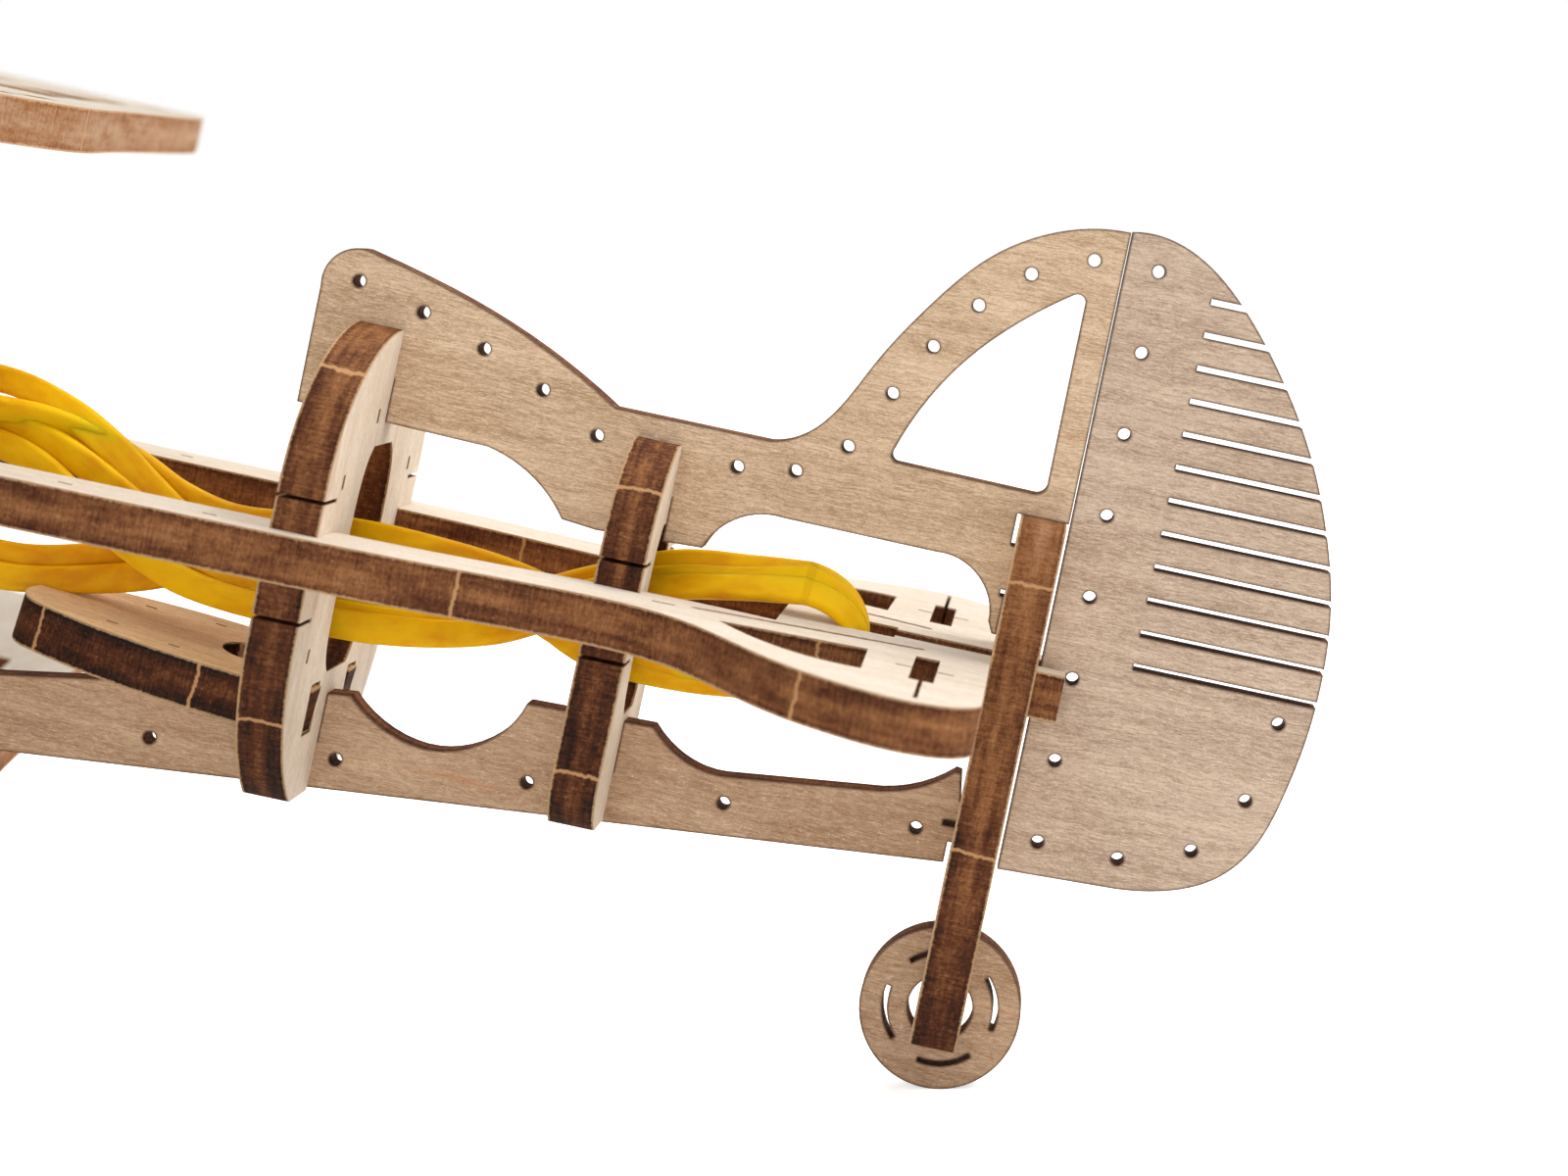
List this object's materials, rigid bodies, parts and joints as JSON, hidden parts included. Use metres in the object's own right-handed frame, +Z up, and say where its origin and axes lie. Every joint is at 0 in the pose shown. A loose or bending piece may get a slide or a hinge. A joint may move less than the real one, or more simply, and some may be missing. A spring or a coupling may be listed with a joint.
{
  "type": "rubber band plane",
  "caption": "Laser-cut plywood biplane driven by twisted rubber bands, with a hinged rudder, a turning propeller and rolling wheels.",
  "frame": {"origin": "on the ground, in the plane of symmetry, at the middle of the overall length", "axes": "+X forward to the nose, +Y to port, +Z up, with the aircraft standing on its three wheels, nose up by 12.05 degrees"},
  "size_m": [0.199, 0.176, 0.1106],
  "materials": {
    "thick_ply": "bare four millimetre plywood with laser-burnt edges",
    "thin_ply": "bare two millimetre plywood with laser-burnt edges",
    "hub_wood": "turned hardwood",
    "dowel": "bare dowel",
    "steel_wire": "drawn wire",
    "brass_bush": "turned",
    "rubber_bands": "soft translucent yellow rubber"
  },
  "bodies": {
    "airframe": {"axle": "dowel", "belly_plate": "thick_ply", "cabane_left": "thin_ply", "cabane_right": "thin_ply", "cowl_keel": "thin_ply", "former_cockpit": "thick_ply", "former_front": "thick_ply", "former_tail": "thick_ply", "former_wing": "thick_ply", "fuselage_frame": "thick_ply", "gear_leg_left": "thick_ply", "gear_leg_right": "thick_ply", "interplane_strut_left": "thin_ply", "interplane_strut_right": "thin_ply", "lower_keel": "thin_ply", "lower_wing": "thick_ply", "nose_bush": "brass_bush", "nose_plate": "thick_ply", "rubber_motor": "rubber_bands", "tail_post": "thick_ply", "upper_keel": "thin_ply", "upper_wing": "thick_ply", "wheel_retainers": "thin_ply"},
    "rudder": {"rudder": "thin_ply"},
    "tail_wheel": {"tail_wheel": "thin_ply"},
    "main_wheel_left": {"main_wheel_left": "thick_ply"},
    "main_wheel_right": {"main_wheel_right": "thick_ply"},
    "propeller": {"propeller_hub": "hub_wood", "propeller_blade_upper": "thin_ply", "propeller_blade_lower": "thin_ply", "propeller_cap": "thin_ply", "propeller_shaft": "steel_wire", "thrust_bead": "brass_bush"}
  },
  "joints": [
    {"name": "propeller_spin", "type": "hinge", "parent": "airframe", "child": "propeller", "pos_m": [0.07895, 0, 0.06731], "axis": [0.978, 0, 0.2088], "continuous": true},
    {"name": "rudder_hinge", "type": "hinge", "parent": "airframe", "child": "rudder", "pos_m": [-0.07387, 0, 0.03469], "axis": [-0.2088, 0, 0.978], "range_deg": [-6, 6]},
    {"name": "tail_wheel_spin", "type": "hinge", "parent": "airframe", "child": "tail_wheel", "pos_m": [-0.06565, 0, 0.007], "axis": [0, 1, 0], "continuous": true},
    {"name": "main_wheel_left_spin", "type": "hinge", "parent": "airframe", "child": "main_wheel_left", "pos_m": [0.07235, 0.031, 0.012], "axis": [0, 1, 0], "continuous": true},
    {"name": "main_wheel_right_spin", "type": "hinge", "parent": "airframe", "child": "main_wheel_right", "pos_m": [0.07235, -0.031, 0.012], "axis": [0, 1, 0], "continuous": true}
  ]
}
